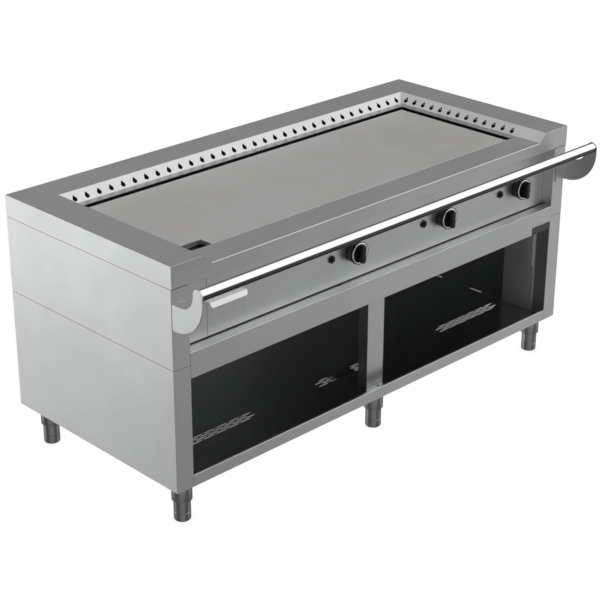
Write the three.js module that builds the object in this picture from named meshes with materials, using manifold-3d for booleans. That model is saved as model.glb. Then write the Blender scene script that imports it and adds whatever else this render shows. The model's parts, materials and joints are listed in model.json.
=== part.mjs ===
// Gas flat-top griddle on an open base cabinet, with a handrail along the front.
// Millimetres. X runs left to right, Y from front to back, Z up from the floor.
// The origin is at the middle of the footprint, handrail included, on the floor.

import * as THREE from "three";
import { mergeVertices } from "three/addons/utils/BufferGeometryUtils.js";
import Module from "manifold-3d";

const wasm = await Module();
wasm.setup();

// ---------------------------------------------------------------- driving dimensions

const WIDTH = 1800;
const BODY_DEPTH = 790; // front posts to back panel
const RAIL_REACH = 130; // handrail brackets in front of the posts
const HEIGHT = 850;

const SHEET = 2; // sheet steel
const GAP = 0.4; // between parts that touch
const HALF = WIDTH / 2;
const INNER = HALF - SHEET; // inside face of the outer skin
const BACK_SHEET = BODY_DEPTH - SHEET;

// Heights of the seams
const LEG_HEIGHT = 124;
const BASE_RAIL_TOP = 162.5;
const BASE_FLOOR_TOP = 142;
const FASCIA_BOTTOM = 483;
const SIDE_SEAM = 527; // base cabinet below, griddle housing above
const LEDGE_TOP = 565.5; // ledge in front of the panel
const LEDGE_DEPTH = 60;
const PANEL_TOP = 777;
const WORKTOP_BOTTOM = 779.5;

// Worktop and the cooking well
const BORDER_SIDE = 118;
const BORDER_BACK = 116.5;
const WELL_DROP = 31; // the walls slope at 45 degrees
const WELL_FLOOR = HEIGHT - WELL_DROP;
const WELL_HALF = HALF - BORDER_SIDE - WELL_DROP; // half width at the well floor
const WELL_BACK = BODY_DEPTH - BORDER_BACK - WELL_DROP;
const WELL_LEDGE = 29; // flat strip at the foot of the walls
const WELL_LEDGE_LEFT = 6; // the plate runs on almost to the left wall
const OPENING_LEFT = -WELL_HALF + WELL_LEDGE_LEFT;
const OPENING_RIGHT = WELL_HALF - WELL_LEDGE;
const OPENING_BACK = WELL_BACK - WELL_LEDGE;

const PLATE_THICKNESS = 15;
const PLATE_LEFT = -741;
const PLATE_RIGHT = 694;
const PLATE_FRONT = 104;
const PLATE_BACK = 589;
const PLATE_BOTTOM = WELL_FLOOR - PLATE_THICKNESS;

const DROP_RADIUS = 8.5; // round end of a teardrop vent
const DROP_TIP = 15.5; // from the round end's centre to the tip
const DROP_RISE = 10.4; // round end's centre above the well floor
const BACK_DROPS = { count: 32, pitch: 47.5 };
const SIDE_DROPS = { count: 13, pitch: 41.3, middle: 380.6 };

// Drain sump at the plate's front left corner, gutter under the gap round the plate
const SUMP = { x0: PLATE_LEFT, x1: -656, y0: PLATE_FRONT + 2, y1: 154, floor: 799 };
const OUTLET = { x0: -736, x1: -696, y0: 109, y1: 135, bottom: 696 };
const GUTTER = { left: -748, right: 738, back: 630, width: 58, bottom: 760 };

// Grease drawer
const DRAWER = { x0: -735, x1: -589, bottom: 570, top: 776.5, length: 430 };
const HANDLE = { x0: -742, x1: -597, z: 684, reach: 21, lip: 16, lean: 5.5, clip: 7 };
const SEAM = 0.4; // between the drawer front and the panel
const WIDE_SEAM = 1.2; // between the drawer front and the filler

// Front
const POST_WIDTH = 62.7;
const POST_RETURN = 54;
const BAY_HALF = HALF - POST_WIDTH; // between the two front posts
const PANEL_FACE = 41; // control panel behind the posts
const PANEL_FOLD = 15;
const CONTROL_Z = 662;
const KNOB_X = [-125, 302, 695];
const IGNITER_OFFSET = -99; // from each knob to its igniter
const KNOB = { travel: 3, bore: 4.3, gripHalf: 8, gripEnd: 25, gripDepth: 20, rim: 12 };

// Handrail
const RAIL_Y = -110.5;
const RAIL_Z = 796;
const RAIL_RADIUS = 17.5;
const RAIL_END_RADIUS = 19.5;
const BRACKET_SHEET = 4;
const BRACKET_BOTTOM = 656;
const BRACKET_TOP = 736;

// Base
const CENTRE_POST = { half: 38, depth: 40, y: 54 };
const RAIL_FOLD = 8; // the base front rail folds back over the floor's edge
const FLOOR_HOLE = { x: 4, y: 42, radius: 5 };
const FLOOR_NOTCHES = [[290, 345], [485, 528]];
const LEG_X = [-848, -13, 820];
const LEG_Y = [45, 702];
const SLEEVE = { radius: 32, bore: 27, bottom: 70 };
const FOOT = { radius: 26.5, top: 118, edge: 6 };
const SLOTS = {
  x: [-588, 19, 625], // middle of each group
  y: 169,
  columns: 6,
  rows: 4,
  pitchX: 51,
  pitchY: 9.5,
  length: 42,
  width: 4,
};
const VENTS = { columns: 8, x: -560, pitch: 160, length: 100, height: 8, z: [708, 730] }; // in the housing back

// Gas
const TAP = { y0: 58, y1: 96, radius: 16, bore: 6.2, boreEnd: 80, stem: 4 };
const NOZZLE_END = 103.5;
const MANIFOLD = { y: 85, z: 608, radius: 11, inletX: 745 };
const BURNER = { x: [-463, 0, 463], z: 733, armX: [-90, 0, 90], y0: 150, y1: 560, radius: 13 };

// ---------------------------------------------------------------- materials

const steel = (color, roughness) => new THREE.MeshStandardMaterial({ color, roughness, metalness: 1 });
const plastic = (color, roughness) => new THREE.MeshStandardMaterial({ color, roughness, metalness: 0 });

const brushed = () => steel(0x9a9c9c, 0.38);
const polished = () => steel(0xe6e6e6, 0.12);
const plateSteel = () => steel(0x9c9a98, 0.45);
const hiddenSteel = () => steel(0x8c8e90, 0.5);
const cast = () => steel(0x3a3a3c, 0.7);
const brass = () => steel(0xb89a55, 0.4);
const black = () => plastic(0x161717, 0.35);
const darkGrey = () => plastic(0x55585a, 0.5);

// ---------------------------------------------------------------- shapes

const box = (x0, x1, y0, y1, z0, z1) =>
  new THREE.BoxGeometry(x1 - x0, y1 - y0, z1 - z0).translate((x0 + x1) / 2, (y0 + y1) / 2, (z0 + z1) / 2);

const outline = (points) => new THREE.Shape(points.map(([u, v]) => new THREE.Vector2(u, v)));

const extrude = (shape, depth, curveSegments = 8) =>
  new THREE.ExtrudeGeometry(shape, { depth, bevelEnabled: false, curveSegments });

// Outline in plan (x, y), pulled up from z0 to z1
const alongZ = (points, z0, z1) => extrude(outline(points), z1 - z0).translate(0, 0, z0);

// Outline in side view (y, z), pulled from x0 to x1
const sideways = new THREE.Matrix4().makeBasis(
  new THREE.Vector3(0, 1, 0),
  new THREE.Vector3(0, 0, 1),
  new THREE.Vector3(1, 0, 0),
);
const shapeAlongX = (shape, x0, x1, curveSegments) =>
  extrude(shape, x1 - x0, curveSegments).applyMatrix4(sideways).translate(x0, 0, 0);
const alongX = (points, x0, x1) => shapeAlongX(outline(points), x0, x1);

// Outline in front view (x, z), pulled from y0 to y1
const frontways = new THREE.Matrix4().makeBasis(
  new THREE.Vector3(1, 0, 0),
  new THREE.Vector3(0, 0, 1),
  new THREE.Vector3(0, -1, 0),
);
const alongY = (points, y0, y1) => extrude(outline(points), y1 - y0).applyMatrix4(frontways).translate(0, y1, 0);

const rodX = (radius, x0, x1, y, z, sides = 16) =>
  new THREE.CylinderGeometry(radius, radius, x1 - x0, sides).rotateZ(-Math.PI / 2).translate((x0 + x1) / 2, y, z);
const rodY = (radius, y0, y1, x, z, sides = 16) =>
  new THREE.CylinderGeometry(radius, radius, y1 - y0, sides).translate(x, (y0 + y1) / 2, z);
const rodZ = (radius, z0, z1, x, y, sides = 16) =>
  new THREE.CylinderGeometry(radius, radius, z1 - z0, sides).rotateX(Math.PI / 2).translate(x, y, (z0 + z1) / 2);

// Profile of (radius, height) pairs turned about the Z axis
const turned = (profile, sides) =>
  new THREE.LatheGeometry(profile.map(([r, z]) => new THREE.Vector2(r, z)), sides).rotateX(Math.PI / 2);

// ---------------------------------------------------------------- joining and cutting

function toSolid(geometry) {
  const bare = geometry.clone();
  bare.deleteAttribute("normal");
  bare.deleteAttribute("uv");
  const merged = mergeVertices(bare);
  const mesh = new wasm.Mesh({
    numProp: 3,
    vertProperties: new Float32Array(merged.attributes.position.array),
    triVerts: new Uint32Array(merged.index.array),
  });
  return new wasm.Manifold(mesh);
}

function toGeometry(solid) {
  const mesh = solid.getMesh();
  const geometry = new THREE.BufferGeometry();
  geometry.setAttribute("position", new THREE.BufferAttribute(mesh.vertProperties, 3));
  geometry.setIndex(new THREE.BufferAttribute(mesh.triVerts, 1));
  geometry.computeVertexNormals();
  return geometry;
}

const joined = (...shapes) => toGeometry(shapes.map(toSolid).reduce((sum, solid) => sum.add(solid)));

const cut = (shape, ...tools) =>
  toGeometry(tools.map(toSolid).reduce((rest, tool) => rest.subtract(tool), toSolid(shape)));

const common = (a, b) => toGeometry(toSolid(a).intersect(toSolid(b)));

// ---------------------------------------------------------------- the assembly

const griddle = new THREE.Group();
griddle.name = "flat_top_griddle";
const machine = new THREE.Group(); // its Y starts at the front posts
machine.position.y = (RAIL_REACH - BODY_DEPTH) / 2;
griddle.add(machine);

function add(name, geometry, material, x = 0, y = 0, z = 0) {
  const mesh = new THREE.Mesh(geometry, material);
  mesh.name = name;
  mesh.position.set(x, y, z);
  machine.add(mesh);
}

const SIDES = [
  { side: "left", sign: -1 },
  { side: "right", sign: 1 },
];

// ---------------------------------------------------------------- worktop

// The cooking well as a solid to cut away: walls at 45 degrees, open to the front.
// A thickness makes it larger by that much all round.
function wellSolid(thickness) {
  const spread = thickness * (Math.SQRT2 - 1);
  const floor = WELL_FLOOR - thickness;
  const top = HEIGHT + 1;
  const rise = top - floor;
  const half = WELL_HALF + spread;
  const back = WELL_BACK + spread;
  const across = alongY([[-half, floor], [half, floor], [half + rise, top], [-half - rise, top]], -10, BODY_DEPTH);
  const along = alongX([[-5, floor], [back, floor], [back + rise, top], [-5, top]], -HALF, HALF);
  return common(across, along);
}

function teardrop() {
  const shape = new THREE.Shape();
  const lean = Math.acos(DROP_RADIUS / DROP_TIP);
  const side = Math.PI / 2 + lean; // where the straight flank meets the round end
  shape.moveTo(0, DROP_TIP);
  shape.lineTo(DROP_RADIUS * Math.cos(side), DROP_RADIUS * Math.sin(side));
  shape.absarc(0, 0, DROP_RADIUS, side, Math.PI * 3 - side, false);
  shape.closePath();
  const depth = 12;
  return extrude(shape, depth, 4).translate(0, 0, -depth / 2).rotateX(Math.PI / 4);
}

const backDrop = (x) => teardrop().translate(x, WELL_BACK + DROP_RISE, WELL_FLOOR + DROP_RISE);
const sideDrop = (sign, y) =>
  teardrop().rotateZ((-sign * Math.PI) / 2).translate(sign * (WELL_HALF + DROP_RISE), y, WELL_FLOOR + DROP_RISE);

function teardrops() {
  const drops = [];
  for (let i = 0; i < BACK_DROPS.count; i++) {
    drops.push(backDrop((i - (BACK_DROPS.count - 1) / 2) * BACK_DROPS.pitch));
  }
  for (let i = 0; i < SIDE_DROPS.count; i++) {
    const y = SIDE_DROPS.middle + (i - (SIDE_DROPS.count - 1) / 2) * SIDE_DROPS.pitch;
    drops.push(sideDrop(-1, y), sideDrop(1, y));
  }
  return drops;
}

function worktop() {
  const frontReturn = 45;
  const block = box(-HALF, HALF, 0, BODY_DEPTH, WORKTOP_BOTTOM, HEIGHT);
  const inside = box(-INNER, INNER, SHEET, BACK_SHEET, WORKTOP_BOTTOM + SHEET, HEIGHT - SHEET);
  const below = box(-INNER, INNER, frontReturn, BACK_SHEET, WORKTOP_BOTTOM - SHEET, WORKTOP_BOTTOM + 2 * SHEET);
  const hollow = cut(joined(inside, below), wellSolid(SHEET));
  const opening = box(OPENING_LEFT, OPENING_RIGHT, PLATE_FRONT, OPENING_BACK, WORKTOP_BOTTOM, HEIGHT);
  return cut(block, wellSolid(0), hollow, opening, ...teardrops());
}

add("worktop", worktop(), brushed());

// ---------------------------------------------------------------- cooking plate and drain

function cookingPlate() {
  return alongZ(
    [
      [SUMP.x1, PLATE_FRONT + GAP],
      [PLATE_RIGHT, PLATE_FRONT + GAP],
      [PLATE_RIGHT, PLATE_BACK],
      [PLATE_LEFT, PLATE_BACK],
      [PLATE_LEFT, SUMP.y1],
      [SUMP.x1, SUMP.y1],
    ],
    PLATE_BOTTOM,
    WELL_FLOOR,
  );
}

// Plan of the gutter, drawn in from its outer walls by a margin
function gutterPlan(margin, front) {
  const { left, right, back, width } = GUTTER;
  return [
    [left + margin, front.left],
    [left + width - margin, front.left],
    [left + width - margin, back - width + margin],
    [right - width + margin, back - width + margin],
    [right - width + margin, front.right],
    [right - margin, front.right],
    [right - margin, back - margin],
    [left + margin, back - margin],
  ];
}

// Trough under the gap round the plate; its left leg pours into the outlet below the sump
function gutterTrough() {
  const chuteBack = SUMP.y1 + 2 * SHEET + GAP;
  const top = WELL_FLOOR - SHEET - GAP;
  const outside = { left: chuteBack, right: PLATE_FRONT + GAP };
  const inside = { left: chuteBack - 1, right: PLATE_FRONT + GAP + SHEET };
  const shell = alongZ(gutterPlan(0, outside), GUTTER.bottom, top);
  const channel = alongZ(gutterPlan(SHEET, inside), GUTTER.bottom + SHEET, top + 1);
  const underPlate = box(-HALF, PLATE_RIGHT + 1, 0, PLATE_BACK + 1, PLATE_BOTTOM - GAP, HEIGHT);
  return cut(shell, channel, underPlate);
}

// Shallow sump with an outlet tube down to the grease drawer
function drainChute() {
  const { left, width, bottom } = GUTTER;
  const top = PLATE_BOTTOM - GAP;
  const back = SUMP.y1 + 2 * SHEET;
  const under = SUMP.floor - SHEET;
  const sump = box(SUMP.x0, SUMP.x1 + SHEET, SUMP.y0 - SHEET, back, under, top);
  const basin = box(SUMP.x0 + SHEET, SUMP.x1, SUMP.y0, back - SHEET, SUMP.floor, top + 1);
  const tube = box(left, left + width, SUMP.y0, back, OUTLET.bottom, under + SHEET / 2);
  const bore = box(left + SHEET, left + width - SHEET, SUMP.y0 + SHEET, back - SHEET, OUTLET.bottom - 1, under);
  const outlet = box(OUTLET.x0, OUTLET.x1, OUTLET.y0, OUTLET.y1, under - SHEET, SUMP.floor + 1);
  const spill = box(left + SHEET, left + width - SHEET, back - 2 * SHEET, back + 1, bottom, under - SHEET);
  return cut(joined(sump, tube), basin, bore, outlet, spill);
}

add("cooking_plate", cookingPlate(), plateSteel());
add("gutter_trough", gutterTrough(), hiddenSteel());
add("drain_chute", drainChute(), hiddenSteel());

// ---------------------------------------------------------------- grease drawer

const TRAY = {
  x0: DRAWER.x0 + 8,
  x1: DRAWER.x1 - 8,
  y0: PANEL_FACE + PANEL_FOLD + GAP,
  bottom: 584,
  top: 690,
};

// Sheet front folded back along its top and bottom edges
function foldedFront(x0, x1, z0, z1) {
  const y0 = PANEL_FACE;
  const y1 = PANEL_FACE + PANEL_FOLD;
  const profile = [
    [y0, z0],
    [y1, z0],
    [y1, z0 + SHEET],
    [y0 + SHEET, z0 + SHEET],
    [y0 + SHEET, z1 - SHEET],
    [y1, z1 - SHEET],
    [y1, z1],
    [y0, z1],
  ];
  return alongX(profile, x0, x1);
}

function greaseTray() {
  const y1 = TRAY.y0 + DRAWER.length;
  const block = box(TRAY.x0, TRAY.x1, TRAY.y0, y1, TRAY.bottom, TRAY.top);
  const hollow = box(
    TRAY.x0 + SHEET, TRAY.x1 - SHEET, TRAY.y0 + SHEET, y1 - SHEET, TRAY.bottom + SHEET, TRAY.top + 1,
  );
  return cut(block, hollow);
}

// Angle pull: a flange standing out from the front and a lip leaning outwards, its lower corners clipped
function drawerHandle() {
  const { x0, x1, z, reach, lip, lean, clip } = HANDLE;
  const front = PANEL_FACE - reach;
  const profile = [
    [PANEL_FACE - GAP, z - SHEET],
    [PANEL_FACE - GAP, z],
    [front, z],
    [front - lean, z - lip],
    [front - lean + SHEET, z - lip],
    [front + SHEET, z - SHEET],
  ];
  const corner = (x, sign) =>
    alongY([[x, z - lip - 1], [x + sign * clip, z - lip - 1], [x, z - lip + clip]], front - 2 * lean, front + lean);
  return cut(alongX(profile.reverse(), x0, x1), corner(x0, 1), corner(x1, -1));
}

// Angle standing on the housing floor, with a ledge under the tray
function drawerRunner(sign) {
  const wall = sign < 0 ? TRAY.x0 - GAP : TRAY.x1 + GAP;
  const out = (distance) => wall + sign * distance;
  const ledge = TRAY.bottom - GAP;
  const foot = LEDGE_TOP + GAP;
  const profile = [
    [out(0), ledge],
    [out(0), ledge + 40],
    [out(SHEET), ledge + 40],
    [out(SHEET), foot],
    [out(-12), foot],
    [out(-12), foot + SHEET],
    [out(0), foot + SHEET],
    [out(0), ledge - SHEET],
    [out(-12), ledge - SHEET],
    [out(-12), ledge],
  ];
  return alongY(sign < 0 ? profile : profile.reverse(), 70, TRAY.y0 + DRAWER.length);
}

add("drawer_front", foldedFront(DRAWER.x0, DRAWER.x1, DRAWER.bottom, DRAWER.top), brushed());
add("grease_tray", greaseTray(), hiddenSteel());
add("drawer_handle", drawerHandle(), polished());
for (const { side, sign } of SIDES) {
  add(`drawer_runner_${side}`, drawerRunner(sign), hiddenSteel());
}

// ---------------------------------------------------------------- control panel

function controlPanel() {
  const panel = foldedFront(DRAWER.x1 + SEAM, BAY_HALF - GAP, DRAWER.bottom, PANEL_TOP);
  const holes = KNOB_X.flatMap((x) => [
    rodY(7, PANEL_FACE - 5, PANEL_FACE + 5, x, CONTROL_Z, 12),
    rodY(8, PANEL_FACE - 5, PANEL_FACE + 5, x + IGNITER_OFFSET, CONTROL_Z, 12),
  ]);
  return cut(panel, ...holes);
}

function knob() {
  const { travel, bore, gripHalf, gripEnd, gripDepth, rim } = KNOB;
  const back = PANEL_FACE - travel - 1;
  const profile = [[0, 0], [33, 0], [34.5, 4], [35.5, 16], [37.2, 18], [37.2, 24], [35, 25], [0, 25]];
  const skirt = turned(profile, 28)
    .rotateX(Math.PI / 2)
    .translate(0, back, 0);
  const shape = new THREE.Shape();
  shape.moveTo(gripHalf, -gripEnd);
  shape.lineTo(gripHalf, gripEnd);
  shape.absarc(0, gripEnd, gripHalf, 0, Math.PI, false);
  shape.lineTo(-gripHalf, -gripEnd);
  shape.absarc(0, -gripEnd, gripHalf, Math.PI, Math.PI * 2, false);
  const grip = extrude(shape, gripDepth, 3)
    .applyMatrix4(frontways)
    .translate(0, rim + 2, 0);
  return cut(joined(skirt, grip), rodY(bore, 2 * rim, back + 1, 0, 0, 12));
}

function tapStem() {
  return rodY(TAP.stem, 2 * KNOB.rim + 1, TAP.boreEnd - 4, 0, 0, 12);
}

function tapPlunger() {
  const ring = rodY(TAP.bore - GAP, TAP.y0 + 1, TAP.y0 + 12, 0, 0, 12);
  return cut(ring, rodY(KNOB.bore, TAP.y0, TAP.y0 + 13, 0, 0, 12));
}

function gasTap() {
  const body = rodY(TAP.radius, TAP.y0, TAP.y1, 0, 0, 16);
  const nozzle = rodY(6, TAP.y1 - 1, NOZZLE_END, 0, 0, 12);
  const inlet = rodZ(9, MANIFOLD.z + 35 - CONTROL_Z, 0, 0, MANIFOLD.y, 12);
  const bore = rodY(TAP.bore, TAP.y0 - 1, TAP.boreEnd, 0, 0, 12);
  return cut(joined(body, nozzle, inlet), bore);
}

function igniterButton() {
  const cap = rodY(6, PANEL_FACE - 11, PANEL_FACE, 0, 0, 12);
  const barrel = rodY(7, PANEL_FACE - 1, PANEL_FACE + 34, 0, 0, 12);
  return joined(cap, barrel);
}

add("control_panel", controlPanel(), brushed());
add("panel_filler", foldedFront(-BAY_HALF + GAP, DRAWER.x0 - WIDE_SEAM, DRAWER.bottom, PANEL_TOP), brushed());
KNOB_X.forEach((x, i) => {
  const n = i + 1;
  add(`knob_${n}`, knob(), black(), x, 0, CONTROL_Z);
  add(`tap_stem_${n}`, tapStem(), hiddenSteel(), x, 0, CONTROL_Z);
  add(`tap_plunger_${n}`, tapPlunger(), brass(), x, 0, CONTROL_Z);
  add(`gas_tap_${n}`, gasTap(), brass(), x, 0, CONTROL_Z);
  add(`igniter_button_${n}`, igniterButton(), black(), x + IGNITER_OFFSET, 0, CONTROL_Z);
});

// ---------------------------------------------------------------- burners and gas pipe

// Three arms along Y, a cross tube in front, and a venturi elbow down to the tap's nozzle
function burner(centreX, tapX) {
  const { z, radius, y0, y1, armX } = BURNER;
  const sides = 12;
  const left = centreX + armX[0] - radius;
  const mixer = 11;
  return joined(
    ...armX.map((dx) => rodY(radius, y0, y1, centreX + dx, z, sides)),
    rodX(radius, left, tapX + mixer, y0, z, sides),
    rodZ(mixer, CONTROL_Z - mixer, z, tapX, y0, sides),
    rodY(mixer, NOZZLE_END + GAP, y0, tapX, CONTROL_Z, sides),
  );
}

// One pipe along the front under the taps, turned to the back for the gas inlet
function gasManifold() {
  const { y, z, radius, inletX } = MANIFOLD;
  const end = 30;
  return joined(
    rodX(radius, KNOB_X[0] - end, inletX, y, z, 12),
    rodY(radius, y, BODY_DEPTH - 0.5, inletX, z, 12),
    new THREE.SphereGeometry(radius * 1.15, 12, 8).translate(inletX, y, z),
    ...KNOB_X.map((x) => rodZ(7, z, z + 35 - GAP, x, y, 10)),
  );
}

KNOB_X.forEach((x, i) => add(`burner_${i + 1}`, burner(BURNER.x[i], x), cast()));
add("gas_manifold", gasManifold(), hiddenSteel());

// ---------------------------------------------------------------- housing and base shells

// Plan of a side sheet: outer skin, front post face and the return behind it
function sidePlan(sign) {
  const points = [
    [HALF, 0],
    [HALF, BODY_DEPTH],
    [INNER, BODY_DEPTH],
    [INNER, SHEET],
    [BAY_HALF + SHEET, SHEET],
    [BAY_HALF + SHEET, POST_RETURN],
    [BAY_HALF, POST_RETURN],
    [BAY_HALF, 0],
  ].map(([x, y]) => [sign * x, y]);
  return sign > 0 ? points : points.reverse();
}

// Side sheet of the base, closed below by a flange turned in under its front post and its two skins
function baseSide(sign) {
  const shell = alongZ(sidePlan(sign), LEG_HEIGHT, SIDE_SEAM - GAP / 2);
  const post = [sign * (BAY_HALF + SHEET / 2), sign * (HALF - SHEET / 2)];
  const skin = [sign * (BAY_HALF + SHEET), sign * (HALF - SHEET / 2)];
  const flange = (edges, y0, y1) =>
    box(Math.min(...edges), Math.max(...edges), y0, y1, LEG_HEIGHT, LEG_HEIGHT + SHEET);
  return joined(shell, flange(post, SHEET / 2, POST_RETURN), flange(skin, POST_RETURN - 1, BACK_SHEET - GAP));
}

// Top ledge in front of the panel and the fascia below it
function fasciaBeam() {
  const z = LEDGE_TOP;
  const b = FASCIA_BOTTOM;
  return alongX(
    [
      [0, b],
      [20, b],
      [20, b + SHEET],
      [SHEET, b + SHEET],
      [SHEET, z - SHEET],
      [LEDGE_DEPTH, z - SHEET],
      [LEDGE_DEPTH, z],
      [0, z],
    ],
    -BAY_HALF + GAP,
    BAY_HALF - GAP,
  );
}

const backPanel = (z0, z1) => box(-INNER + GAP, INNER - GAP, BACK_SHEET, BODY_DEPTH, z0, z1);

function housingBack() {
  const panel = backPanel(SIDE_SEAM + GAP / 2, WORKTOP_BOTTOM - GAP);
  const y0 = BACK_SHEET - SHEET;
  const y1 = BODY_DEPTH + SHEET;
  const vents = VENTS.z.flatMap((z) => {
    const row = [];
    for (let column = 0; column < VENTS.columns; column++) {
      const x = VENTS.x + column * VENTS.pitch;
      row.push(box(x - VENTS.length / 2, x + VENTS.length / 2, y0, y1, z, z + VENTS.height));
    }
    return row;
  });
  return cut(panel, rodY(MANIFOLD.radius + 3, y0, y1, MANIFOLD.inletX, MANIFOLD.z, 16), ...vents);
}

// Floor sheet with three groups of staggered slots, a fixing hole before the centre post
// and two notches at its right edge
function baseFloor() {
  const half = BAY_HALF - GAP;
  const bottom = BASE_FLOOR_TOP - SHEET;
  const sheet = box(-half, half, RAIL_FOLD + GAP, BACK_SHEET - GAP, bottom, BASE_FLOOR_TOP);
  const through = [bottom - SHEET, BASE_FLOOR_TOP + SHEET];
  const slots = [];
  for (const groupX of SLOTS.x) {
    for (let row = 0; row < SLOTS.rows; row++) {
      for (let column = 0; column < SLOTS.columns; column++) {
        const stagger = (row % 2 ? 0.25 : -0.25) * SLOTS.pitchX;
        const x = groupX + (column - (SLOTS.columns - 1) / 2) * SLOTS.pitchX + stagger;
        const y = SLOTS.y + row * SLOTS.pitchY;
        slots.push(box(x - SLOTS.length / 2, x + SLOTS.length / 2, y, y + SLOTS.width, ...through));
      }
    }
  }
  const hole = rodZ(FLOOR_HOLE.radius, ...through, FLOOR_HOLE.x, FLOOR_HOLE.y, 8);
  const notches = FLOOR_NOTCHES.map(([y0, y1]) => box(BAY_HALF - 6, BAY_HALF, y0, y1, ...through));
  return cut(sheet, hole, ...slots, ...notches);
}

function baseFrontRail() {
  const z0 = LEG_HEIGHT;
  const z1 = BASE_RAIL_TOP;
  return alongX(
    [
      [0, z0],
      [30, z0],
      [30, z0 + SHEET],
      [SHEET, z0 + SHEET],
      [SHEET, z1 - SHEET],
      [RAIL_FOLD - SHEET, z1 - SHEET],
      [RAIL_FOLD - SHEET, BASE_FLOOR_TOP + GAP],
      [RAIL_FOLD, BASE_FLOOR_TOP + GAP],
      [RAIL_FOLD, z1],
      [0, z1],
    ],
    -BAY_HALF + GAP,
    BAY_HALF - GAP,
  );
}

function centrePost() {
  const { half, depth, y } = CENTRE_POST;
  const plan = [
    [-half, y],
    [half, y],
    [half, y + depth],
    [half - SHEET, y + depth],
    [half - SHEET, y + SHEET],
    [-half + SHEET, y + SHEET],
    [-half + SHEET, y + depth],
    [-half, y + depth],
  ];
  return alongZ(plan, BASE_FLOOR_TOP + GAP, LEDGE_TOP - SHEET - GAP);
}

// Channel under the floor that carries the two middle legs
function middleBeam() {
  const half = 45;
  const top = BASE_FLOOR_TOP - SHEET - GAP;
  const centre = LEG_X[1];
  return alongY(
    [
      [centre - half, LEG_HEIGHT],
      [centre + half, LEG_HEIGHT],
      [centre + half, top],
      [centre + half - SHEET, top],
      [centre + half - SHEET, LEG_HEIGHT + SHEET],
      [centre - half + SHEET, LEG_HEIGHT + SHEET],
      [centre - half + SHEET, top],
      [centre - half, top],
    ],
    30 + GAP,
    BACK_SHEET - GAP,
  );
}

function baseLining(sign) {
  const x0 = sign > 0 ? BAY_HALF : -BAY_HALF - SHEET;
  const top = LEDGE_TOP - SHEET - GAP;
  return box(x0, x0 + SHEET, POST_RETURN + GAP, BACK_SHEET - GAP, BASE_FLOOR_TOP - SHEET, top);
}

function housingFloor() {
  const half = INNER - GAP;
  return box(-half, half, LEDGE_DEPTH + GAP, BACK_SHEET - GAP, LEDGE_TOP - SHEET, LEDGE_TOP);
}

const badge = () => box(738, 836.5, -1.6, -GAP / 2, FASCIA_BOTTOM + 0.5, FASCIA_BOTTOM + 26.5);

for (const { side, sign } of SIDES) {
  const housingSide = alongZ(sidePlan(sign), SIDE_SEAM + GAP / 2, WORKTOP_BOTTOM - GAP);
  add(`housing_side_${side}`, housingSide, brushed());
  add(`base_side_${side}`, baseSide(sign), brushed());
  add(`base_lining_${side}`, baseLining(sign), hiddenSteel());
}
add("fascia_beam", fasciaBeam(), brushed());
add("badge_plate", badge(), darkGrey());
add("housing_floor", housingFloor(), hiddenSteel());
add("housing_back", housingBack(), brushed());
add("base_back", backPanel(LEG_HEIGHT, SIDE_SEAM - GAP / 2), brushed());
add("base_floor", baseFloor(), hiddenSteel());
add("base_front_rail", baseFrontRail(), brushed());
add("centre_post", centrePost(), brushed());
add("middle_beam", middleBeam(), hiddenSteel());

// ---------------------------------------------------------------- legs

function legSleeve() {
  const top = LEG_HEIGHT - GAP;
  const { radius, bore, bottom } = SLEEVE;
  const boreEnd = FOOT.top + 2;
  return cut(rodZ(radius, bottom, top, 0, 0, 24), rodZ(bore, bottom - 1, boreEnd, 0, 0, 24));
}

function legFoot() {
  const { radius, edge, top } = FOOT;
  const profile = [[0, 0], [radius - edge, 0]];
  const steps = 4;
  for (let i = 1; i <= steps; i++) {
    const angle = ((i / steps) * Math.PI) / 2;
    profile.push([radius - edge + edge * Math.sin(angle), edge - edge * Math.cos(angle)]);
  }
  profile.push([radius, top], [0, top]);
  return turned(profile, 24);
}

LEG_Y.forEach((y, row) => {
  LEG_X.forEach((x, column) => {
    const place = `${["front", "rear"][row]}_${["left", "middle", "right"][column]}`;
    add(`leg_sleeve_${place}`, legSleeve(), steel(0x8a8b8c, 0.3), x, y, 0);
    add(`leg_foot_${place}`, legFoot(), steel(0x808182, 0.3), x, y, 0);
  });
});

// ---------------------------------------------------------------- handrail

// Hooked end plate with a flange turned in against the front post
function railBracket(sign) {
  const outerRadius = 118;
  const innerRadius = 54;
  const innerY = RAIL_Y + RAIL_END_RADIUS + innerRadius;
  const outerY = RAIL_Y - RAIL_END_RADIUS + outerRadius;
  const shape = new THREE.Shape();
  shape.moveTo(-GAP, BRACKET_BOTTOM);
  shape.lineTo(-GAP, BRACKET_TOP);
  shape.lineTo(innerY, BRACKET_TOP);
  shape.absarc(innerY, BRACKET_TOP + innerRadius, innerRadius, -Math.PI / 2, -Math.PI, true);
  shape.absarc(RAIL_Y, RAIL_Z, RAIL_END_RADIUS, 0, Math.PI, false);
  shape.absarc(outerY, BRACKET_BOTTOM + outerRadius, outerRadius, Math.PI, Math.PI * 1.5, false);
  const x0 = sign > 0 ? HALF - BRACKET_SHEET : -HALF;
  const plate = shapeAlongX(shape, x0, x0 + BRACKET_SHEET, 9);
  const flangeWidth = 50;
  const f0 = sign > 0 ? HALF - flangeWidth : -HALF + 1;
  const flange = box(f0, f0 + flangeWidth - 1, -BRACKET_SHEET, -GAP, BRACKET_BOTTOM, BRACKET_TOP);
  return joined(plate, flange);
}

function handrail() {
  const end = HALF - BRACKET_SHEET - GAP;
  const sides = 24;
  const wall = 2;
  return cut(
    rodX(RAIL_RADIUS, -end, end, RAIL_Y, RAIL_Z, sides),
    rodX(RAIL_RADIUS - wall, -end - 1, end + 1, RAIL_Y, RAIL_Z, sides),
  );
}

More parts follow.
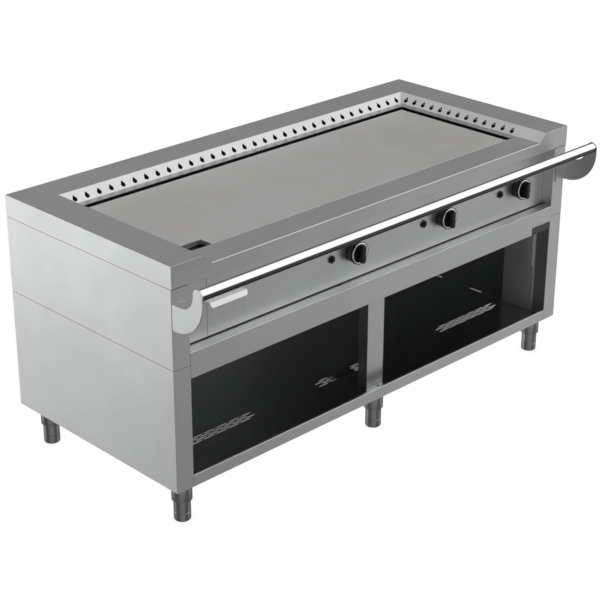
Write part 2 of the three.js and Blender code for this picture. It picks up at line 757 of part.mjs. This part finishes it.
add("handrail", handrail(), polished());
for (const { side, sign } of SIDES) {
  add(`rail_bracket_${side}`, railBracket(sign), brushed());
}

export default griddle;
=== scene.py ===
"""A gas flat top griddle in brushed stainless steel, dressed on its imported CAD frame. Metres, Z up."""

import json
import math

import bmesh
import bpy
from mathutils import Matrix, Vector

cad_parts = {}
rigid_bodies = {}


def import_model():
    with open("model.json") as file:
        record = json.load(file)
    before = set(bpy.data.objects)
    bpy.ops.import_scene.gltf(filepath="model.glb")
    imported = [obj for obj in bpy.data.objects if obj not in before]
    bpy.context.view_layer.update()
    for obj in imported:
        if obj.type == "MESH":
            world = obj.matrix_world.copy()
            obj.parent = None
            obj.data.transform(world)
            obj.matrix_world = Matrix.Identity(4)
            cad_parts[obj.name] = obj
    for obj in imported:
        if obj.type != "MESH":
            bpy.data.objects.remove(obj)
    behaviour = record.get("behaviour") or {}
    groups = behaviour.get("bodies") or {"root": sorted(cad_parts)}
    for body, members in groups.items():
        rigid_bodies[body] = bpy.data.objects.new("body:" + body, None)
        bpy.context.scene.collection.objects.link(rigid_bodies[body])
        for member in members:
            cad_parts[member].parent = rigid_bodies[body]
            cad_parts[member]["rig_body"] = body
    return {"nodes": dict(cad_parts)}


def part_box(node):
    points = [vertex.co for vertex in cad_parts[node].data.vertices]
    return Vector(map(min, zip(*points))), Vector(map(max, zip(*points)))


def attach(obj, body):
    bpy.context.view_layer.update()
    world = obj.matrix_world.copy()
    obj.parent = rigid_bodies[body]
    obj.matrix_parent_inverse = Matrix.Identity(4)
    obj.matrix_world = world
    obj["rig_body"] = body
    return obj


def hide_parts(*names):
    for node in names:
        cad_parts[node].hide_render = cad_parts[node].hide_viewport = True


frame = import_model()
nodes = frame["nodes"]
scene = bpy.context.scene
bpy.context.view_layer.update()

RIGHT = (1, 0, 0)
FRONT = (0, -1, 0)
BACK = (0, 1, 0)
UP = (0, 0, 1)


# ---------------------------------------------------------------- node helpers


def add_node(tree, kind, inputs=None, **settings):
    """Adds a node, sets its properties, and fills its inputs with values or links."""
    made = tree.nodes.new(kind)
    for key, value in settings.items():
        setattr(made, key, value)
    for key, value in (inputs or {}).items():
        if isinstance(value, bpy.types.NodeSocket):
            tree.links.new(value, made.inputs[key])
        else:
            made.inputs[key].default_value = value
    return made


def noise(tree, place, scale, detail=2.0, roughness=0.5):
    inputs = {"Vector": place, "Scale": scale, "Detail": detail, "Roughness": roughness}
    return add_node(tree, "ShaderNodeTexNoise", inputs).outputs["Fac"]


def ramp(tree, factor, stops):
    """A colour ramp through (position, colour) stops."""
    made = add_node(tree, "ShaderNodeValToRGB", {"Fac": factor})
    points = made.color_ramp.elements
    while len(points) < len(stops):
        points.new(0.5)
    for point, (position, colour) in zip(points, stops):
        point.position = position
        point.color = (*colour, 1.0)
    return made.outputs["Color"]


def remap(tree, value, low, high, smooth=False, start=0.0, end=1.0):
    """Value from start..end turned into low..high."""
    inputs = {"Value": value, "From Min": start, "From Max": end, "To Min": low, "To Max": high}
    kind = "SMOOTHSTEP" if smooth else "LINEAR"
    return add_node(tree, "ShaderNodeMapRange", inputs, interpolation_type=kind).outputs["Result"]


def maths(tree, operation, a, b):
    return add_node(tree, "ShaderNodeMath", {0: a, 1: b}, operation=operation).outputs[0]


def grey(tone):
    return (tone, tone, tone)


def cloudy(tree, cloud, tone, spread):
    """The tone made darker and lighter by a share of itself, as a noise says."""
    darker = tuple(channel * (1 - spread) for channel in tone)
    lighter = tuple(channel * (1 + spread) for channel in tone)
    return ramp(tree, cloud, [(0.3, darker), (0.7, lighter)])


def bump_normal(tree, height, strength, distance):
    inputs = {"Height": height, "Strength": strength, "Distance": distance}
    return add_node(tree, "ShaderNodeBump", inputs).outputs["Normal"]


# ---------------------------------------------------------------- materials

GRAIN_ALONG = 5.0  # noise scale along the brushing, and across it
GRAIN_ACROSS = 900.0
GRAIN_RELIEF = 0.0004
STREAK_SPREAD = 0.06  # roughness added and taken away by the grain, and by the handling marks
MARK_SPREAD = 0.03
GRIT_SCALE = 700.0
GRIT_RELIEF = 0.0003
MOTTLE = 0.15
SHEEN_SPREAD = 0.05


def surface(name):
    material = bpy.data.materials.new(name)
    material.use_nodes = True
    tree = material.node_tree
    return material, tree, tree.nodes["Principled BSDF"]


def metal(name, tone, roughness, grain="X", grain_depth=0.05, wear=0.04):
    """Stainless sheet: a fine brushed grain along one axis and cloudy handling marks."""
    material, tree, shader = surface(name)
    place = add_node(tree, "ShaderNodeTexCoord").outputs["Object"]
    scale = tuple(GRAIN_ALONG if axis == grain else GRAIN_ACROSS for axis in "XYZ")
    stretched = add_node(tree, "ShaderNodeMapping", {"Vector": place, "Scale": scale}).outputs["Vector"]
    fibres = noise(tree, stretched, 1.0, 3.0)
    cloud = noise(tree, place, 4.0, 3.0, 0.6)
    tree.links.new(cloudy(tree, cloud, tone, wear), shader.inputs["Base Color"])
    streaks = remap(tree, fibres, roughness - STREAK_SPREAD, roughness + STREAK_SPREAD)
    marks = remap(tree, noise(tree, place, 11.0, 4.0, 0.6), -MARK_SPREAD, MARK_SPREAD)
    tree.links.new(maths(tree, "ADD", streaks, marks), shader.inputs["Roughness"])
    tree.links.new(bump_normal(tree, fibres, grain_depth, GRAIN_RELIEF), shader.inputs["Normal"])
    shader.inputs["Metallic"].default_value = 1.0
    return material


def moulded(name, tone, roughness):
    """Moulded plastic or paint with a fine grit and a little uneven sheen."""
    material, tree, shader = surface(name)
    place = add_node(tree, "ShaderNodeTexCoord").outputs["Object"]
    cloud = noise(tree, place, 60.0, 3.0)
    tree.links.new(cloudy(tree, cloud, tone, MOTTLE), shader.inputs["Base Color"])
    sheen = remap(tree, cloud, roughness - SHEEN_SPREAD, roughness + SHEEN_SPREAD)
    tree.links.new(sheen, shader.inputs["Roughness"])
    grit = noise(tree, place, GRIT_SCALE)
    tree.links.new(bump_normal(tree, grit, 0.08, GRIT_RELIEF), shader.inputs["Normal"])
    shader.inputs["Specular IOR Level"].default_value = 0.4
    return material


CASING = (0.70, 0.71, 0.71)
PLATE = (1.0, 0.985, 0.96)
DARK = (0.40, 0.41, 0.41)

along = {axis: metal(f"casing_grain_{axis.lower()}", CASING, 0.40, axis) for axis in "XYZ"}
plate_steel = metal("plate_ground", PLATE, 0.42, wear=0.05)
inner_steel = metal("inner_dark", DARK, 0.22)
polished = metal("polished_tube", grey(0.86), 0.1, grain_depth=0.01, wear=0.01)
leg_steel = metal("leg_satin", (0.34, 0.345, 0.35), 0.3, "Z")
ring_chrome = metal("ring_chrome", grey(1.0), 0.24, grain_depth=0.01, wear=0.01)
cover_steel = metal("cover_satin", (0.85, 0.86, 0.87), 0.6, "Z")
# Near-black steel for the drain chute: painted shade in the recess of the drain hole.
drain_shaded_steel = metal("drain_painted_shade", grey(0.13), 0.3)
handle_steel = metal("handle_bright", (0.97, 0.98, 0.98), 0.18)
iron = metal("burner_cast", (0.05, 0.05, 0.052), 0.6, "Y", grain_depth=0.3, wear=0.2)
brass = metal("tap_brass", (0.55, 0.42, 0.17), 0.35, "Y")
knob_black = moulded("knob_black", (0.008, 0.008, 0.009), 0.32)
badge_grey = moulded("badge_grey", (0.09, 0.095, 0.1), 0.5)

BY_SLOT = {
    "casing_steel": along["X"],
    "polished_steel": polished,
    "plate_steel": plate_steel,
    "inner_steel": inner_steel,
    "leg_steel": leg_steel,
    "burner_iron": iron,
    "tap_brass": brass,
    "control_black": knob_black,
    "badge_grey": badge_grey,
}


# ---------------------------------------------------------------- CAD nodes

NODE_SLOT = {name: nodes[name].data.materials[0].name for name in nodes}
OWN_FINISH = {"drain_chute": drain_shaded_steel, "drawer_handle": handle_steel}
UPRIGHT_GRAIN = (
    "housing_side_left", "housing_side_right", "base_side_left", "base_side_right", "centre_post",
    "base_back", "housing_back",
)
CRISP = ("base_floor", "housing_back", "gas_manifold", "burner_1", "burner_2", "burner_3")
HAIRLINE = ("drawer_front", "control_panel", "panel_filler")
SOFT_EDGE = 0.0007
FINE_EDGE = 0.0002
SHARPEST_SMOOTH = math.radians(35)
WELD_REACH = 0.00002


def finish_of(name):
    """The record's slot and the material of a CAD node."""
    slot = NODE_SLOT[name]
    if name in OWN_FINISH:
        return slot, OWN_FINISH[name]
    if name in UPRIGHT_GRAIN:
        return slot, along["Z"]
    return slot, BY_SLOT[slot]


def edge_of(name):
    """How wide the edges of a CAD node are softened."""
    if name in CRISP:
        return 0.0
    return FINE_EDGE if name in HAIRLINE else SOFT_EDGE


def dress(name):
    """Gives a CAD node its finish and softens its folded edges, leaving its own mesh as it is."""
    node = nodes[name]
    for attribute in [a for a in node.data.attributes if a.name == "custom_normal"]:
        node.data.attributes.remove(attribute)
    node.data.materials.clear()
    node.data.materials.append(finish_of(name)[1])
    width = edge_of(name)
    if not width:
        return
    weld = node.modifiers.new("weld", "WELD")
    weld.merge_threshold = WELD_REACH
    bevel = node.modifiers.new("soft edges", "BEVEL")
    bevel.width = width
    bevel.segments = 2
    bevel.limit_method = "ANGLE"
    bevel.angle_limit = SHARPEST_SMOOTH
    bevel.use_clamp_overlap = False


for part in sorted(nodes):
    dress(part)


# ---------------------------------------------------------------- mesh helpers

SEAM = 0.0009  # how far a side shell's top edge is lowered, so that the seam over it shows
FOLD_SEGMENTS = 6
SLAB_SEGMENTS = 3


def new_piece(name, mesh, material, body, smooth=True):
    """Puts a bmesh in the scene as a piece of the object that moves with a CAD body."""
    bmesh.ops.recalc_face_normals(mesh, faces=mesh.faces)
    bmesh.ops.triangulate(mesh, faces=[face for face in mesh.faces if len(face.verts) > 4])
    data = bpy.data.meshes.new(name)
    mesh.to_mesh(data)
    mesh.free()
    if smooth:
        data.polygons.foreach_set("use_smooth", [True] * len(data.polygons))
        data.set_sharp_from_angle(angle=math.radians(32))
    data.materials.append(material)
    piece = bpy.data.objects.new(name, data)
    scene.collection.objects.link(piece)
    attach(piece, body)
    return piece


def turn(mesh, profile, origin, axis, segments=96):
    """Turns a profile of (radius, distance along the axis) pairs round an axis through origin."""
    rotation = Vector(UP).rotation_difference(Vector(axis)).to_matrix()
    rings = []
    for radius, distance in profile:
        ring = []
        for step in range(segments if radius > 0 else 1):
            angle = 2 * math.pi * step / segments
            point = Vector((radius * math.cos(angle), radius * math.sin(angle), distance))
            ring.append(mesh.verts.new(Vector(origin) + rotation @ point))
        rings.append(ring)
    for low, high in zip(rings, rings[1:]):
        for step in range(segments):
            after = (step + 1) % segments
            lower = [low[step % len(low)], low[after % len(low)]]
            upper = [high[after % len(high)], high[step % len(high)]]
            corners = list(dict.fromkeys(lower + upper))
            if len(corners) > 2:
                mesh.faces.new(corners)


def rounded(middle, radius, start, end, steps=5):
    """Points on an arc about a middle, from one angle to another in degrees."""
    points = []
    for step in range(steps + 1):
        angle = math.radians(start + (end - start) * step / steps)
        points.append((middle[0] + radius * math.cos(angle), middle[1] + radius * math.sin(angle)))
    return points


def rounded_rectangle(width, height, radius):
    corners = [
        ((width - radius, radius), -90),
        ((width - radius, height - radius), 0),
        ((radius, height - radius), 90),
        ((radius, radius), 180),
    ]
    return [point for corner, start in corners for point in rounded(corner, radius, start, start + 90, 4)]


def slab(mesh, outline, origin, across, upward, depth, bevel):
    """A flat plate: an outline at origin, as thick as the depth vector, its far edges rounded."""
    base = [mesh.verts.new(Vector(origin) + Vector(across) * a + Vector(upward) * b) for a, b in outline]
    face = mesh.faces.new(base)
    made = bmesh.ops.extrude_face_region(mesh, geom=[face])["geom"]
    moved = [item for item in made if isinstance(item, bmesh.types.BMVert)]
    bmesh.ops.translate(mesh, verts=moved, vec=Vector(depth))
    top = [item for item in made if isinstance(item, bmesh.types.BMFace)]
    edges = [edge for face in top for edge in face.edges]
    bmesh.ops.bevel(mesh, geom=edges, offset=bevel, segments=SLAB_SEGMENTS, affect="EDGES", profile=0.5)


def near(a, b, reach=0.0003):
    return abs(a - b) < reach


def edge_at(**where):
    """A test for edges whose two ends both lie at the given coordinates."""
    axes = {"x": 0, "y": 1, "z": 2}
    return lambda p, q: all(near(p[axes[k]], v) and near(q[axes[k]], v) for k, v in where.items())


def refined(node, name, roundings, seam_top=None, inner_and_shaded=None, splits=()):
    """A finer copy of a CAD node to stand for it: coplanar triangles merged and chosen folds rounded.

    roundings: (test on an edge's two ends, radius) pairs.
    seam_top: the height of the corners that are lowered for a wider seam.
    hidden: picks the faces that take the dark inner finish, the unseen inner sides and also faces darkened
    as painted shade.
    splits: x of cuts that end a fold square to it.
    """
    mesh = bmesh.new()
    mesh.from_mesh(nodes[node].data)
    bmesh.ops.remove_doubles(mesh, verts=mesh.verts, dist=WELD_REACH)
    bmesh.ops.dissolve_limit(mesh, angle_limit=math.radians(0.5), verts=mesh.verts, edges=mesh.edges)
    if seam_top is not None:
        for corner in mesh.verts:
            if near(corner.co.z, seam_top):
                corner.co.z -= SEAM
    for x in splits:
        everything = [*mesh.verts, *mesh.edges, *mesh.faces]
        bmesh.ops.bisect_plane(mesh, geom=everything, plane_co=(x, 0, 0), plane_no=RIGHT)
    for test, radius in roundings:
        chosen = []
        for edge in mesh.edges:
            start, end = edge.verts
            if test(start.co, end.co) and edge.calc_face_angle(0) > 0.5:
                chosen.append(edge)
        bmesh.ops.bevel(
            mesh, geom=chosen, offset=radius, segments=FOLD_SEGMENTS, affect="EDGES", profile=0.5,
            clamp_overlap=False,
        )
    mesh.normal_update()
    if inner_and_shaded:
        for face in mesh.faces:
            face.material_index = int(inner_and_shaded(face.calc_center_median(), face.normal))
    slot, material = finish_of(node)
    piece = new_piece(name, mesh, material, nodes[node]["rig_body"], smooth=False)
    if inner_and_shaded:
        piece.data.materials.append(inner_steel)
    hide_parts(node)


# ---------------------------------------------------------------- knobs

DIAL_DEPTH = 0.025
BAR_HALF_WIDTH = 0.0085
BAR_END_GAP = 0.0155  # from the dial's edge to the middle of the grip bar's round end
BAR_SINK = 0.004  # how far the grip bar starts below the dial's face
RING_HALF_WIDTH = 0.0033
RING_FLATTENING = 0.55
NUT_RADIUS = 0.0138
NUT_SINK = 0.0005
NUT_THICKNESS = 0.0055


def knob(number):
    """Round dial with a chrome ring let into its face and a grip bar across it."""
    low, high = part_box(f"knob_{number}")
    middle = (low + high) / 2
    radius = (high.x - low.x) / 2
    origin = (middle.x, high.y, middle.z)
    dial_profile = [
        (0.0, 0.0),
        (radius - 0.0045, 0.0),
        (radius - 0.003, 0.002),  # chamfer at the back
        (radius - 0.0018, DIAL_DEPTH - 0.009),  # tapered skirt
        *rounded((radius - 0.0012, DIAL_DEPTH - 0.0068), 0.0012, -60, 0, 3),  # bead round the rim
        *rounded((radius - 0.0009, DIAL_DEPTH - 0.001), 0.0009, 0, 90, 3),  # front edge
        (radius - 0.0022, DIAL_DEPTH - 0.0006),
        (radius - 0.0086, DIAL_DEPTH - 0.0006),  # land under the ring
        (radius - 0.0092, DIAL_DEPTH - 0.0018),
        (0.0, DIAL_DEPTH - 0.0022),  # face, a little hollow
    ]
    dial = bmesh.new()
    turn(dial, dial_profile, origin, FRONT)
    half_length = radius - BAR_END_GAP
    bar = [
        *rounded((0.0, half_length), BAR_HALF_WIDTH, 0, 180, 10),
        *rounded((0.0, -half_length), BAR_HALF_WIDTH, 180, 360, 10),
    ]
    bar_start = high.y - DIAL_DEPTH + BAR_SINK
    slab(dial, bar, (middle.x, bar_start, middle.z), RIGHT, UP, (0, low.y - bar_start, 0), 0.0022)
    piece = new_piece(f"knob_dial_{number}", dial, knob_black, f"knob_{number}")
    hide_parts(f"knob_{number}")
    ring_middle = radius - 0.0023 - RING_HALF_WIDTH
    crown = [
        (ring_middle + x, DIAL_DEPTH - 0.0012 + RING_FLATTENING * y)
        for x, y in rounded((0.0, 0.0), RING_HALF_WIDTH, 0, 180, 12)
    ]
    seat = [(crown[-1][0], DIAL_DEPTH - 0.003), (crown[0][0], DIAL_DEPTH - 0.003), crown[0]]
    ring = bmesh.new()
    turn(ring, [*crown, *seat], origin, FRONT)
    new_piece(f"knob_ring_{number}", ring, ring_chrome, f"knob_{number}")


def igniter_bezel(number):
    """Hexagonal black nut round the igniter button, let a little into the panel."""
    low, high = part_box(f"igniter_button_{number}")
    middle = (low + high) / 2
    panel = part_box("control_panel")[0].y
    corners = [math.radians(30 + 60 * side) for side in range(6)]
    hexagon = [(NUT_RADIUS * math.cos(angle), NUT_RADIUS * math.sin(angle)) for angle in corners]
    nut = bmesh.new()
    slab(nut, hexagon, (middle.x, panel + NUT_SINK, middle.z), RIGHT, UP, (0, -NUT_THICKNESS, 0), 0.0012)
    new_piece(f"igniter_bezel_{number}", nut, knob_black, "cabinet")


for number in (1, 2, 3):
    knob(number)
    igniter_bezel(number)


# ---------------------------------------------------------------- handrail and legs

RAIL_PAINTED_REFLECTION_TONES = [  # degrees round the tube from its front, upwards, and the painted reflection tone there: dark bands and a bright painted highlight
    (-180, 0.6), (-90, 0.3), (-40, 0.13), (-22, 0.05), (-14, 0.13), (0, 0.10), (5, 0.04), (10, 0.12),
    (15, 1.0), (84, 1.0), (89, 0.2), (118, 0.22), (150, 0.6),
]
RAIL_CHAMFER = 0.002
SLEEVE_LIP = 0.0015
FOOT_NOSE = 0.006
SLEEVE_GAP = 0.0005  # between sleeve and foot
GROOVE_DEPTH = 0.0008


def painted_rail_reflection(middle_y, middle_z):
    """Polished tube with a painted reflection: dark bands under and over a bright painted highlight, set
    in the base colour by the angle round the tube.
    """
    material, tree, shader = surface("rail_painted_reflection")
    place = add_node(tree, "ShaderNodeTexCoord").outputs["Object"]
    parts = add_node(tree, "ShaderNodeSeparateXYZ", {"Vector": place}).outputs
    forward = maths(tree, "SUBTRACT", middle_y, parts["Y"])
    upward = maths(tree, "SUBTRACT", parts["Z"], middle_z)
    angle = maths(tree, "ARCTAN2", upward, forward)
    share = remap(tree, angle, 0.0, 1.0, start=-math.pi, end=math.pi)
    # Painted reflection: the dark bands and the bright painted highlight are fixed to the tube, whatever
    # the lamps do.
    stops = [((degrees + 180) / 360, grey(tone)) for degrees, tone in RAIL_PAINTED_REFLECTION_TONES]
    tree.links.new(ramp(tree, share, stops), shader.inputs["Base Color"])
    tree.links.new(remap(tree, noise(tree, place, 9.0, 3.0), 0.09, 0.15), shader.inputs["Roughness"])
    shader.inputs["Metallic"].default_value = 1.0
    return material


def handrail_tube():
    low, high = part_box("handrail")
    radius = (high.z - low.z) / 2
    end_radius = radius - RAIL_CHAMFER
    length = high.x - low.x
    profile = [(end_radius, 0), (radius, 0), (radius, length), (end_radius, length), (end_radius, 0)]
    middle_y = (low.y + high.y) / 2
    middle_z = (low.z + high.z) / 2
    tube = bmesh.new()
    turn(tube, profile, (low.x, middle_y, middle_z), RIGHT, 128)
    piece = new_piece("handrail_tube", tube, painted_rail_reflection(middle_y, middle_z), "cabinet")
    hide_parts("handrail")


def leg(place):
    """Turned sleeve with rounded lips, and a foot with a groove and a bull-nosed end."""
    low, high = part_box(f"leg_sleeve_{place}")
    middle = (low + high) / 2
    axis_foot = (middle.x, middle.y, 0)
    radius = (high.x - low.x) / 2
    foot_low, foot_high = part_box(f"leg_foot_{place}")
    foot_radius = (foot_high.x - foot_low.x) / 2
    bore = foot_radius + SLEEVE_GAP
    sleeve_profile = [
        (bore, low.z + 0.001),
        *rounded((radius - SLEEVE_LIP, low.z + SLEEVE_LIP), SLEEVE_LIP, -90, 0, 4),
        *rounded((radius - SLEEVE_LIP, high.z - SLEEVE_LIP), SLEEVE_LIP, 0, 90, 4),
        (bore, high.z),
        (bore, low.z + 0.001),
    ]
    sleeve = bmesh.new()
    turn(sleeve, sleeve_profile, axis_foot, UP)
    piece = new_piece(f"sleeve_{place}", sleeve, leg_steel, "cabinet")
    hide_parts(f"leg_sleeve_{place}")
    foot_profile = [
        (0.0, 0.0),
        *rounded((foot_radius - FOOT_NOSE, FOOT_NOSE), FOOT_NOSE, -90, 0, 8),
        (foot_radius, 0.028),  # groove from here
        (foot_radius - GROOVE_DEPTH, 0.029),
        (foot_radius - GROOVE_DEPTH, 0.0305),
        (foot_radius, 0.0315),  # to here
        (foot_radius, foot_high.z),
        (0.0, foot_high.z),
    ]
    foot = bmesh.new()
    turn(foot, foot_profile, axis_foot, UP)
    piece = new_piece(f"foot_{place}", foot, leg_steel, f"foot_{place}")
    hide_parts(f"leg_foot_{place}")


handrail_tube()
for row in ("front", "rear"):
    for column in ("left", "middle", "right"):
        leg(f"{row}_{column}")


# ---------------------------------------------------------------- folded sheet parts

FRONT_FOLD = 0.0026
LOWER_FOLD = 0.0014
RIM_FOLD = 0.0006
POST_FOLD = 0.0038
POST_RETURN = 0.0015
FOLD_END = 0.004  # the front fold stops this far short of the well's side walls


def worktop_pressing():
    """The worktop with rounded folds; the underside takes the darker inner steel, and the vents' cut edges
    take it too as painted shade inside the vent holes.
    """
    low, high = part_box("worktop")
    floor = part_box("cooking_plate")[1].z
    at_floor = [v.co for v in nodes["worktop"].data.vertices if near(v.co.z, floor)]
    half = max(p.x for p in at_floor)
    back = max(p.y for p in at_floor)
    fold_end = half - FOLD_END

    # Faces that take the darker inner steel: the underside, and the vents' cut edges as painted shade in
    # the holes.
    def inner_and_shaded(point, normal):
        x, y, z = point
        outer = near(abs(x), high.x) or near(y, low.y) or near(y, high.y) or near(z, high.z)
        in_fold = y < low.y + 0.0024 and near(z, floor, 0.003)
        at_back = near(z - floor, y - back) and normal.z > 0.5
        at_side = near(z - floor, abs(x) - half) and normal.z > 0.5
        flat = near(z, floor, 0.0006) and normal.z > 0.5
        return not (outer or in_fold or at_back or at_side or flat)

    def rim(p, q):
        return near(p.z, high.z) and near(q.z, high.z) and (p - q).length > 0.1

    def front_fold(p, q):
        return edge_at(y=low.y, z=floor)(p, q) and max(abs(p.x), abs(q.x)) < fold_end + 0.0001

    lower_fold = edge_at(y=low.y, z=low.z)
    roundings = [(front_fold, FRONT_FOLD), (lower_fold, LOWER_FOLD), (rim, RIM_FOLD)]
    refined("worktop", "worktop_pressing", roundings, inner_and_shaded=inner_and_shaded, splits=(-fold_end, fold_end))


def front_rail(node, name, radius):
    """A front rail with its upper front edge rounded."""
    refined(node, name, [(edge_at(y=front, z=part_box(node)[1].z), radius)])


def side_shell(section, side):
    """A side sheet with the folds of its front post rounded."""
    node = f"{section}_side_{side}"
    low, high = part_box(node)
    outer, inner = (low.x, high.x) if side == "left" else (high.x, low.x)
    folds = [(edge_at(x=outer, y=front), POST_FOLD), (edge_at(x=inner, y=front), POST_RETURN)]
    refined(node, f"{section}_shell_{side}", folds, seam_top=high.z)


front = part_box("fascia_beam")[0].y
worktop_pressing()
front_rail("fascia_beam", "fascia_folded", 0.0024)
front_rail("base_front_rail", "base_rail_folded", 0.002)
for section in ("housing", "base"):
    for side in ("left", "right"):
        side_shell(section, side)


# ---------------------------------------------------------------- service cover and screws

COVER_WIDTH = 0.136
COVER_THICKNESS = 0.0022
COVER_GAP = 0.0005
HATCH_WIDTH = 0.070
HATCH_BOTTOM = 0.319
HATCH_TOP = 0.520
SCREW_RADIUS = 0.0036
SCREW_RISE = 0.015  # over the panel's lower edge
SCREW_LEFT = 0.007
SCREW_RIGHT_GAP = 0.0045  # from the panel's right edge


def service_cover():
    """Folded cover inside the right bay, behind the front post, with an inspection hatch in it."""
    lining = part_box("base_lining_right")
    post_back = lining[0].y
    face = lining[0].x - 0.0002
    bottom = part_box("base_floor")[1].z + COVER_GAP
    height = lining[1].z - 0.001 - bottom
    outline = [(0.0, 0.0), (COVER_WIDTH, 0.0), (COVER_WIDTH, height), (0.0, height)]
    thickness = (-COVER_THICKNESS, 0, 0)
    cover = bmesh.new()
    slab(cover, outline, (face, post_back + COVER_GAP, bottom), BACK, UP, thickness, 0.001)
    new_piece("service_cover", cover, cover_steel, "cabinet")
    outline = rounded_rectangle(HATCH_WIDTH, HATCH_TOP - HATCH_BOTTOM, 0.004)
    origin = (face - COVER_THICKNESS, post_back + 0.006, HATCH_BOTTOM)
    hatch = bmesh.new()
    slab(hatch, outline, origin, BACK, UP, thickness, 0.0008)
    new_piece("inspection_hatch", hatch, cover_steel, "cabinet")


def pan_screw(name, x, y, z):
    """Plain domed screw head."""
    height = SCREW_RADIUS * 0.45
    profile = [
        (SCREW_RADIUS, 0.0),
        (SCREW_RADIUS, height * 0.3),
        (SCREW_RADIUS * 0.86, height * 0.75),
        (SCREW_RADIUS * 0.5, height),
        (0.0, height),
    ]
    head = bmesh.new()
    turn(head, profile, (x, y, z), FRONT, 32)
    new_piece(name, head, handle_steel, "cabinet")


service_cover()
panel_low, panel_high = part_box("control_panel")
pan_screw("panel_screw_1", SCREW_LEFT, panel_low.y, panel_low.z + SCREW_RISE)
pan_screw("panel_screw_2", panel_high.x - SCREW_RIGHT_GAP, panel_low.y, panel_low.z + SCREW_RISE)


# ---------------------------------------------------------------- studio

FLOOR_REACH = 14.0
FLOOR_DROP = 0.0005
UNDER_CABINET = (  # axis, where the shade begins, where it is full
    ("X", -0.72, -0.42),
    ("X", 0.86, 0.6),
    ("Y", -0.15, 0.12),
    ("Y", 0.42, 0.2),
)
DEEPEST_SHADE = 0.4
AMBIENT = 0.15
# Azimuth, elevation, strength, and the cosines from the lamp's middle at which its light ends and is full.
STUDIO_LIGHT = [
    (-32, 44, 0.9, 0.60, 0.82),  # key, high in front on the right
    (64, 27, 0.15, 0.86, 1.0),  # over the top from behind
    (-30, -16, 0.4, 0.86, 1.0),  # low in front, for the upright front faces
    (127, -2, 1.6, 0.86, 1.0),  # long light for the left side, fading downwards
    (127, -14, 0.3, 0.86, 1.0),
    (115, 42, 0.65, 0.86, 1.0),  # into the right slope of the well
    (56, -30, 0.35, 0.78, 0.97),  # low fills: behind on the right
    (-129, -16, 0.25, 0.72, 0.97),  # in front on the left
    (-98, -4, 0.25, 0.85, 1.0),  # straight in front
]


def studio_floor():
    """Pale floor that only the camera sees, with painted shadow darkening it close round the feet and
    under the cabinet.
    """
    material, tree, shader = surface("studio_floor")
    mesh = bmesh.new()
    bmesh.ops.create_grid(mesh, x_segments=1, y_segments=1, size=FLOOR_REACH)
    data = bpy.data.meshes.new("studio_floor")
    mesh.to_mesh(data)
    mesh.free()
    floor = bpy.data.objects.new("studio_floor", data)
    floor.location.z = -FLOOR_DROP
    scene.collection.objects.link(floor)
    data.materials.append(material)
    # Painted contact shadow: the floor is darker where it is occluded, round the feet.
    contact = add_node(tree, "ShaderNodeAmbientOcclusion", {"Distance": 0.12}, samples=8).outputs["AO"]
    pale_with_painted_shadow = ramp(tree, contact, [(0.0, grey(0.80)), (0.85, grey(1.0))])
    place = add_node(tree, "ShaderNodeTexCoord").outputs["Object"]
    parts = add_node(tree, "ShaderNodeSeparateXYZ", {"Vector": place}).outputs
    # Painted shade under the cabinet, fading in from its edges.
    inside = 1.0
    for axis, start, end in UNDER_CABINET:
        inside = maths(tree, "MULTIPLY", inside, remap(tree, parts[axis], 0.0, 1.0, True, start, end))
    painted_shade_strength = remap(tree, inside, 1.0, DEEPEST_SHADE)
    plain = add_node(tree, "ShaderNodeEmission", {"Color": pale_with_painted_shadow, "Strength": painted_shade_strength}).outputs[0]
    clear = add_node(tree, "ShaderNodeBsdfTransparent").outputs[0]
    seen = add_node(tree, "ShaderNodeLightPath").outputs["Is Camera Ray"]
    mix = add_node(tree, "ShaderNodeMixShader", {0: seen, 1: clear, 2: plain}).outputs[0]
    tree.links.new(mix, tree.nodes["Material Output"].inputs["Surface"])
    tree.nodes.remove(shader)


def towards(tree, direction, azimuth, elevation, strength, end, full):
    """A soft round lamp of the studio, brightest at its middle."""
    swing = Matrix.Rotation(math.radians(azimuth), 3, "Z")
    lift = Matrix.Rotation(math.radians(-elevation), 3, "Y")
    aim = tuple(swing @ lift @ Vector(RIGHT))
    inputs = {0: direction, 1: aim}
    dot = add_node(tree, "ShaderNodeVectorMath", inputs, operation="DOT_PRODUCT").outputs["Value"]
    return remap(tree, dot, 0.0, strength, True, end, full)


def studio_world():
    """White to the camera. Its light is brightest high in front and low behind on the left."""
    world = bpy.data.worlds.new("studio")
    scene.world = world
    world.use_nodes = True
    tree = world.node_tree
    direction = add_node(tree, "ShaderNodeTexCoord").outputs["Generated"]
    glow = 0.0
    for lamp in STUDIO_LIGHT:
        glow = maths(tree, "ADD", glow, towards(tree, direction, *lamp))
    glow = maths(tree, "ADD", glow, AMBIENT)
    light = add_node(tree, "ShaderNodeCombineColor", {0: glow, 1: glow, 2: glow}).outputs[0]
    seen = add_node(tree, "ShaderNodeLightPath").outputs["Is Camera Ray"]
    mix = add_node(tree, "ShaderNodeMix", data_type="RGBA")
    tree.links.new(seen, mix.inputs["Factor"])
    tree.links.new(light, mix.inputs[6])
    mix.inputs[7].default_value = (1.0, 1.0, 1.0, 1.0)
    tree.links.new(mix.outputs[2], tree.nodes["Background"].inputs["Color"])


studio_floor()
studio_world()


# ---------------------------------------------------------------- camera

camera_data = bpy.data.cameras.new("camera")
camera_data.lens = 94.745
camera_data.sensor_width = 36.0
camera_data.shift_x = 0.02635
camera_data.shift_y = -0.03314
camera_data.clip_end = 100.0
camera = bpy.data.objects.new("camera", camera_data)
camera.location = (-3.44136, -3.42823, 2.55971)
camera.rotation_euler = [math.radians(angle) for angle in (66.3536, 0.0866, -43.8783)]
scene.collection.objects.link(camera)
scene.camera = camera
scene.view_settings.view_transform = "Standard"

bpy.context.view_layer.update()
